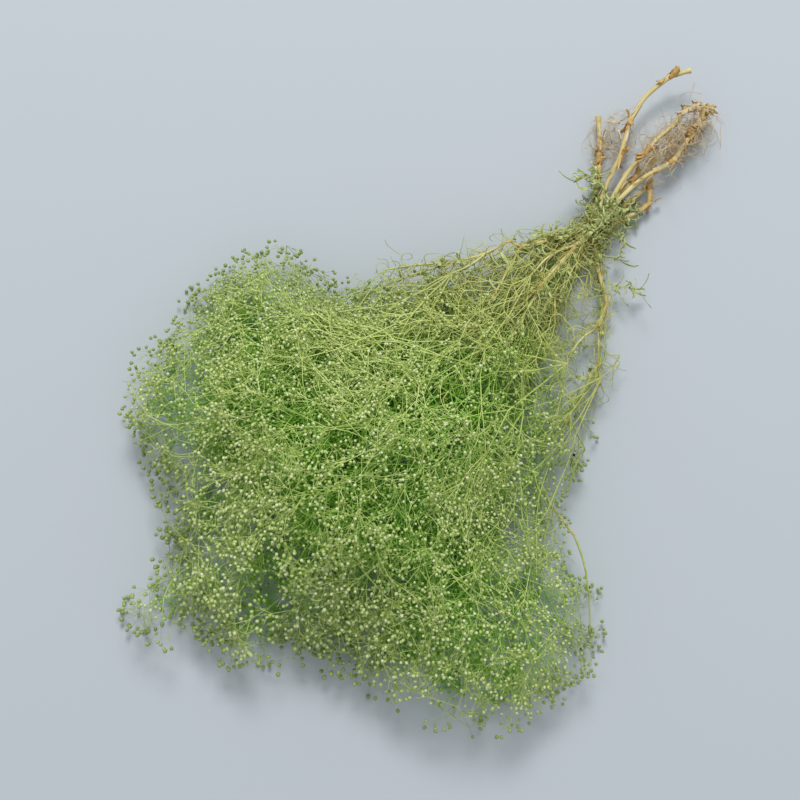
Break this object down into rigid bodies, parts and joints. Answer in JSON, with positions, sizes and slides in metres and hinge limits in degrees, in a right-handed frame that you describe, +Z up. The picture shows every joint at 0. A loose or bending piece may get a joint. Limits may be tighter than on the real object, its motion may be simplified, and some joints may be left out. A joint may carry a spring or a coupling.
{
  "type": "dried broom bloom bunch",
  "caption": "Loose bunch of dried broom bloom lying on its side: crooked straw stems with root ends, a leafy neck and a wide airy cloud of forking green sprays with tiny buds.",
  "frame": {"origin": "on the surface the bunch lies on, under the middle of its bounding box", "axes": "+X from the root ends to the flower tips, +Y across the bunch, +Z up from the surface it lies on"},
  "size_m": [0.4704, 0.3342, 0.1061],
  "materials": {
    "straw_stem": "dry straw-coloured stem with orange-brown nodes, matt",
    "flower_spray": "dry green twigs and pale green buds, matt",
    "leafy_shoot": "dry curled grey-green leaves, matt",
    "dead_root": "papery grey-tan fibre, matt"
  },
  "bodies": {
    "root": {"stem_1": "straw_stem", "stem_2": "straw_stem", "stem_3": "straw_stem", "stem_4": "straw_stem", "stem_5": "straw_stem", "stem_6": "straw_stem", "spray_01": "flower_spray", "spray_02": "flower_spray", "spray_03": "flower_spray", "spray_04": "flower_spray", "spray_05": "flower_spray", "spray_06": "flower_spray", "spray_07": "flower_spray", "spray_08": "flower_spray", "spray_09": "flower_spray", "spray_10": "flower_spray", "spray_11": "flower_spray", "spray_12": "flower_spray", "spray_13": "flower_spray", "spray_14": "flower_spray", "spray_15": "flower_spray", "spray_16": "flower_spray", "spray_17": "flower_spray", "spray_18": "flower_spray", "spray_19": "flower_spray", "spray_20": "flower_spray", "spray_21": "flower_spray", "spray_22": "flower_spray", "spray_23": "flower_spray", "spray_24": "flower_spray", "leafy_shoot_1": "leafy_shoot", "leafy_shoot_2": "leafy_shoot", "leafy_shoot_3": "leafy_shoot", "leafy_shoot_4": "leafy_shoot", "leafy_shoot_5": "leafy_shoot", "leafy_shoot_6": "leafy_shoot", "root_tuft_1": "dead_root", "root_tuft_2": "dead_root", "root_tuft_3": "dead_root"}
  },
  "joints": []
}
